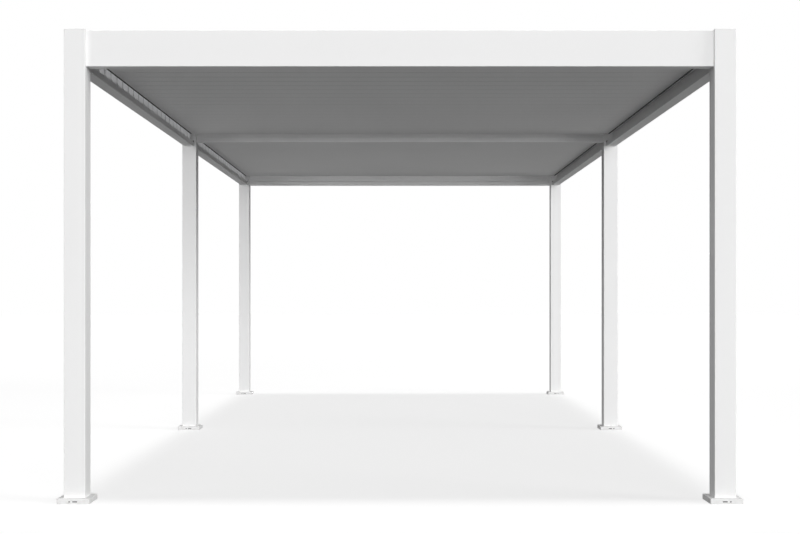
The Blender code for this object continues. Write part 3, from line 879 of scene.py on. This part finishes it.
class PERGOLA_OT_cross_beams(bpy.types.Operator):
    """Front, middle and rear beams with their closing strips"""
    bl_idname = "pergola.cross_beams"
    bl_label = "Cross beams"

    def execute(self, context):
        sizes = context.scene.pergola_frame
        for bay, way in ENDS.items():
            outer_beam(bay, way, sizes).settle("frame", "white_powder_coat", [bay + "_beam"])
        middle_beam(sizes).settle("frame", "white_powder_coat", ["mid_beam"])
        return {"FINISHED"}


def collar(piece, pivot, way, gap, radius):
    """Flanged collar round a louvre's pin, from a gap outside the louvre's end to the track."""
    start = LOUVRE_HALF_LENGTH + gap
    place = Vector((way * start, pivot.y, pivot.z))
    piece.add(disc(place, (way, 0, 0), radius, TRACK_FACE_X - start), "nylon")
    place = Vector((way * (TRACK_FACE_X - COLLAR_FLANGE_THICKNESS), pivot.y, pivot.z))
    piece.add(disc(place, (way, 0, 0), radius + COLLAR_FLANGE_WIDTH, COLLAR_FLANGE_THICKNESS), "nylon")


def lip_end_shade_block(piece, start, way, sizes):
    """Black block on one end of a gutter lip, from start to the back: painted shade in the gap between the
    lip and the post.
    """
    size = sizes.lip_shade_block_size
    near = Vector((way * (GUTTER_FACE_X - sizes.thin_edge), start, LIP_TOP - size / 2))
    far = Vector((way * (GUTTER_FACE_X + size), start + size, LIP_TOP + size / 2))
    piece.add(block(near, far), "painted_shade_black")


def outlet(piece, y, way, radius):
    """Rain outlet in a gutter's floor: a rim round a black disc, painted shade in place of the opening."""
    place = Vector((way * (GUTTER_FACE_X + (WALL + BOX_FACE) / 2), y, GUTTER_FLOOR))
    piece.add(disc(place, UP, radius, OUTLET_HEIGHT, OUTLET_SIDES, OUTLET_EDGE), "nylon")
    # Black disc of painted shade where the outlet's opening would be
    piece.add(disc(place + upward(OUTLET_HEIGHT), UP, radius - OUTLET_RIM, OUTLET_SHADE_HEIGHT,
                   OUTLET_SIDES), "painted_shade_black")


class PERGOLA_OT_side_beams(bpy.types.Operator):
    """Side beams with their gutters, pin collars and rain outlets, and black blocks of painted shade on
    the lip ends
    """
    bl_idname = "pergola.side_beams"
    bl_label = "Side beams"

    def execute(self, context):
        sizes = context.scene.pergola_frame
        collar_radius = context.scene.pergola_louvres.collar_radius
        for bay in BAYS:
            for side, way in SIDES.items():
                node = f"{bay}_{side}_side_beam"
                low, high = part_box(node)
                piece = Piece(node + "_profile")
                section = perimeter_section(way * GUTTER_FACE_X, way, sizes, with_track=True)
                piece.add(extrusion(section, low.y, high.y, ALONG_Y), "coat_along")
                for name in louvre_names(bay):
                    pivot = joint_place(name + "_tilt")
                    collar(piece, pivot, way, COLLAR_GAPS[side], collar_radius)
                # Black blocks of painted shade on both ends of the lip
                for y in (low.y, high.y - sizes.lip_shade_block_size):
                    lip_end_shade_block(piece, y, way, sizes)
                for y in (low.y + OUTLET_INSET, high.y - OUTLET_INSET):
                    outlet(piece, y, way, sizes.outlet_radius)
                piece.settle("frame", "white_powder_coat", [node])
        return {"FINISHED"}


def blade_section(edge):
    """Section of a louvre about its pivot, far edge at +Y: lip below, nose above."""
    bottom = -LOUVRE_DROP
    shoulder = LIP_REACH - LIP_WIDTH
    fall = LOUVRE_CROWN - NOSE_BOTTOM - NOSE_THICKNESS
    crown = []
    for step in range(CROWN_STEPS + 1):
        across = shoulder - (shoulder + NOSE_REACH) * step / CROWN_STEPS
        radius = CROWN_EDGE * edge if step in (0, CROWN_STEPS) else 0
        crown.append((across, LOUVRE_CROWN - fall * (across / NOSE_REACH) ** 2, radius))
    return [
        (-LOUVRE_HEEL, bottom + HEEL_RISE, HEEL_EDGE * edge),
        (HEEL_RUN - LOUVRE_HEEL, bottom, 0),
        (LIP_REACH, bottom, edge),
        (LIP_REACH, bottom + LIP_THICKNESS, edge),
        (shoulder, bottom + LIP_THICKNESS, edge),
        *crown,
        (-NOSE_REACH, NOSE_BOTTOM, edge),
        (-LOUVRE_HEEL, NOSE_BOTTOM, edge),
    ]


def crank_section():
    """Section of the saw-toothed crank plate: heel, hanging edge and round end."""
    reach, drop = CRANK_PIN.y, -CRANK_PIN.z
    top, bottom = -LOUVRE_DROP / 2, -drop - CRANK_END_RADIUS
    return [(-CRANK_HEEL_REACH, top, CRANK_CORNER),
            (-CRANK_HEEL_REACH, -CRANK_HEEL_DROP, 2 * CRANK_CORNER),
            (reach - CRANK_END_RADIUS, bottom, CRANK_BEND_RADIUS),
            (reach + CRANK_END_RADIUS, bottom, CRANK_END_RADIUS),
            (reach + CRANK_END_RADIUS, top, CRANK_CORNER)]


def screw(piece, place, direction, radius):
    """A screw head with a rounded rim and a black six-sided disc, painted shade in place of its socket."""
    height = SCREW_HEIGHT * radius
    piece.add(disc(place, direction, radius, height, SCREW_SIDES, SCREW_EDGE * radius), "stainless")
    # Black disc of painted shade for the socket
    piece.add(disc(place + height * Vector(direction), direction, SOCKET_SHADE_RADIUS * radius,
                   SOCKET_SHADE_HEIGHT * radius, SOCKET_SHADE_SIDES), "painted_shade_black")


def shade_strips(piece, sizes):
    """Flat black strips under both ends of a louvre: painted shade where the blade meets its end plates.
    """
    for start in (-LOUVRE_HALF_LENGTH, LOUVRE_HALF_LENGTH - sizes.shade_strip_width):
        low = Vector((start, SHADE_STRIP_INSET - LOUVRE_HEEL, -LOUVRE_DROP - sizes.shade_strip_height))
        high = Vector((start + sizes.shade_strip_width, LIP_REACH - SHADE_STRIP_INSET, FIT_GAP - LOUVRE_DROP))
        piece.add(block(low, high), "painted_shade_black")


def crank_fittings(piece, plate_middle, sizes):
    """Boss and head of a crank pin inside its plate, and the spacer outside."""
    pin = Vector((plate_middle, CRANK_PIN.y, CRANK_PIN.z))
    inner = pin + rightward(sizes.crank_plate / 2)
    outer = pin - rightward(sizes.crank_plate / 2)
    piece.add(disc(inner, TO_RIGHT, sizes.boss_radius, BOSS_THICKNESS, BOSS_SIDES, PLATE_EDGE),
              "coat_louvre")
    piece.add(disc(inner + rightward(BOSS_THICKNESS), TO_RIGHT, **CRANK_PIN_HEAD), "stainless")
    spacer = LINK_BAR_INNER + outer.x - FIT_GAP
    piece.add(disc(outer, TO_LEFT, PIN_RADIUS + SPACER_WALL, spacer), "nylon")


def louvre_mesh(sizes):
    """One louvre about its pivot: blade, seal, end plates, crank plate and pins."""
    piece = Piece("louvre")
    half = LOUVRE_HALF_LENGTH
    section = blade_section(sizes.edge)
    cap_start = half - END_PLATE / 2
    piece.add(extrusion(section, -half + FIT_GAP, cap_start - FIT_GAP, ALONG_X), "coat_louvre")
    piece.add(extrusion(section, cap_start, half, ALONG_X, PLATE_EDGE), "coat_louvre")
    piece.add(extrusion(section, -half - END_PLATE, -half, ALONG_X, PLATE_EDGE), "coat_louvre")
    plate_middle = -half - END_PLATE / 2
    piece.add(extrusion(crank_section(), plate_middle - sizes.crank_plate / 2,
                        plate_middle + sizes.crank_plate / 2, ALONG_X, PLATE_EDGE), "crank_metal")
    piece.add(seal(-NOSE_REACH, NOSE_BOTTOM, sizes), "seal_grey")
    # Black strips of painted shade under both ends of the blade
    shade_strips(piece, sizes)
    root = half - PIN_ROOT
    for way in SIDES.values():
        piece.add(disc(rightward(way * root), (way, 0, 0), PIN_RADIUS, PIN_END_X - root, edge=PIN_EDGE),
                  "stainless")
    crank_fittings(piece, plate_middle, sizes)
    for y, z in END_SCREWS:
        screw(piece, Vector((half, y, z)), TO_RIGHT, sizes.screw_radius)
        screw(piece, Vector((-half - END_PLATE, y, z)), TO_LEFT, sizes.screw_radius)
    return piece.mesh()


class PERGOLA_OT_louvres(bpy.types.Operator):
    """Every louvre of both bays"""
    bl_idname = "pergola.louvres"
    bl_label = "Louvres"

    def execute(self, context):
        pattern = louvre_mesh(context.scene.pergola_louvres)
        for bay in BAYS:
            for node in louvre_names(bay):
                mesh = pattern.copy()
                mesh.transform(Matrix.Translation(joint_place(node + "_tilt")))
                settle(node + "_blade", mesh, node, [node])
        bpy.data.meshes.remove(pattern)
        return {"FINISHED"}


class PERGOLA_OT_link_bars(bpy.types.Operator):
    """Link bars with the heads of their pins"""
    bl_idname = "pergola.link_bars"
    bl_label = "Link bars"

    def execute(self, context):
        for bay in BAYS:
            node = bay + "_link_bar"
            low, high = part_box(node)
            rounding = FULL_ROUND * LINK_BAR_HEIGHT
            piece = Piece(node + "_strip")
            corners = [(y, z, rounding) for y, z in ((low.y, low.z), (high.y, low.z),
                                                     (high.y, high.z), (low.y, high.z))]
            piece.add(extrusion(corners, low.x, high.x, ALONG_X, LINK_BAR_EDGE), "bare_bar")
            for name in louvre_names(bay):
                pin = joint_place(name + "_tilt") + CRANK_PIN
                place = Vector((low.x, pin.y, pin.z))
                piece.add(disc(place, TO_LEFT, **WASHER), "stainless")
                place -= rightward(WASHER["thickness"])
                piece.add(disc(place, TO_LEFT, **LINK_PIN_HEAD), "stainless")
            piece.settle(node, "mill_aluminium", [node])
        return {"FINISHED"}


def sun(name, azimuth, elevation, spread, strength):
    """A distant lamp. azimuth is how far to the right of the front it stands, in degrees.

    At strength 1 a white face that looks at it is just white.
    """
    lamp = bpy.data.lights.new(name, "SUN")
    lamp.angle = math.radians(spread)
    lamp.energy = math.pi * strength
    item = bpy.data.objects.new(name, lamp)
    bpy.context.scene.collection.objects.link(item)
    turn, rise = math.radians(azimuth), math.radians(elevation)
    towards = Vector((math.sin(turn) * math.cos(rise), -math.cos(turn) * math.cos(rise), math.sin(rise)))
    item.rotation_euler = towards.to_track_quat("Z", "Y").to_euler()


def seen_rays(finish):
    """1 for rays that show the stage itself, 0 for those that light the object."""
    camera, glossy, through = (finish.node("LightPath", output=f"Is {kind} Ray")
                               for kind in ("Camera", "Glossy", "Transmission"))
    return camera + glossy + through


def lay_floor(stage):
    """White floor that keeps the object's shade but lights the object little."""
    form = bmesh.new()
    bmesh.ops.create_grid(form, x_segments=1, y_segments=1, size=FLOOR_REACH)
    mesh = bpy.data.meshes.new("floor")
    form.to_mesh(mesh)
    form.free()
    floor = bpy.data.objects.new("floor", mesh)
    floor.visible_shadow = False
    bpy.context.scene.collection.objects.link(floor)
    ground = Finish(bpy.data.materials.new("floor_white"))
    bounce = ground.node("BsdfDiffuse", {}, {"Color": opaque([stage.floor_bounce] * 3)})
    shade = ground.node("BsdfDiffuse", {}, {"Color": opaque([stage.floor_shade] * 3)})
    glow = ground.node("Emission", {}, {"Color": opaque(WHITE), "Strength": stage.floor_glow})
    shown = ground.node("AddShader", {}, {0: shade, 1: glow})
    mixed = ground.node("MixShader", {}, {0: seen_rays(ground), 1: bounce, 2: shown})
    ground.feed(ground.tree.nodes["Material Output"], {"Surface": mixed})
    mesh.materials.append(ground.owner)


def hang_sky(stage):
    """White all round where it shows, and a weak light on the object."""
    world = bpy.data.worlds.new("white_room")
    bpy.context.scene.world = world
    sky = Finish(world)
    shown = sky.node("Clamp", {}, {"Value": seen_rays(sky)})
    sky.feed(sky.tree.nodes["Background"], {
        "Color": opaque(WHITE), "Strength": stage.sky + (1.0 - stage.sky) * shown})


def set_camera(stage):
    """Camera that looks level to the back."""
    camera = bpy.data.cameras.new("camera")
    camera.lens = stage.lens
    camera.shift_y = stage.shift
    camera.clip_end = CAMERA_REACH
    item = bpy.data.objects.new("camera", camera)
    item.location = stage.camera_place
    item.rotation_euler = (math.pi / 2, 0.0, 0.0)
    bpy.context.scene.collection.objects.link(item)
    bpy.context.scene.camera = item


class PERGOLA_OT_stage(bpy.types.Operator):
    """White floor, lamps and camera"""
    bl_idname = "pergola.stage"
    bl_label = "Stage"

    def execute(self, context):
        stage = context.scene.pergola_stage
        lay_floor(stage)
        hang_sky(stage)
        for name, (azimuth, elevation, spread, setting, share) in LAMPS.items():
            sun(name, azimuth, elevation, spread, share * getattr(stage, setting))
        set_camera(stage)
        context.scene.view_settings.view_transform = "Standard"
        return {"FINISHED"}


class PERGOLA_PT_build(bpy.types.Panel):
    """Lists the pieces and their settings"""
    bl_idname = "PERGOLA_PT_build"
    bl_label = "Pergola"
    bl_space_type = "VIEW_3D"
    bl_region_type = "UI"
    bl_category = "Pergola"

    def draw(self, context):
        for operator in OPERATORS:
            self.layout.operator(operator.bl_idname)
        for group in GROUPS:
            settings = getattr(context.scene, group)
            column = self.layout.column()
            for name in settings.bl_rna.properties.keys():
                if name not in ("rna_type", "name"):
                    column.prop(settings, name)


GROUPS = {
    "pergola_frame": FrameSizes,
    "pergola_louvres": LouvreSizes,
    "pergola_finishes": FinishColours,
    "pergola_stage": StageSettings,
}
OPERATORS = (PERGOLA_OT_posts, PERGOLA_OT_cross_beams, PERGOLA_OT_side_beams, PERGOLA_OT_louvres,
             PERGOLA_OT_link_bars, PERGOLA_OT_stage)
CLASSES = (*GROUPS.values(), *OPERATORS, PERGOLA_PT_build)


def register():
    """Register the classes and their settings."""
    for kind in CLASSES:
        bpy.utils.register_class(kind)
    for name, group in GROUPS.items():
        setattr(bpy.types.Scene, name, PointerProperty(type=group))


def unregister():
    """Take the settings and the classes away again."""
    for name in GROUPS:
        delattr(bpy.types.Scene, name)
    for kind in reversed(CLASSES):
        bpy.utils.unregister_class(kind)


def main():
    """Build every piece."""
    register()
    bpy.ops.pergola.posts()
    bpy.ops.pergola.cross_beams()
    bpy.ops.pergola.side_beams()
    bpy.ops.pergola.louvres()
    bpy.ops.pergola.link_bars()
    bpy.ops.pergola.stage()


if __name__ == "__main__":
    main()
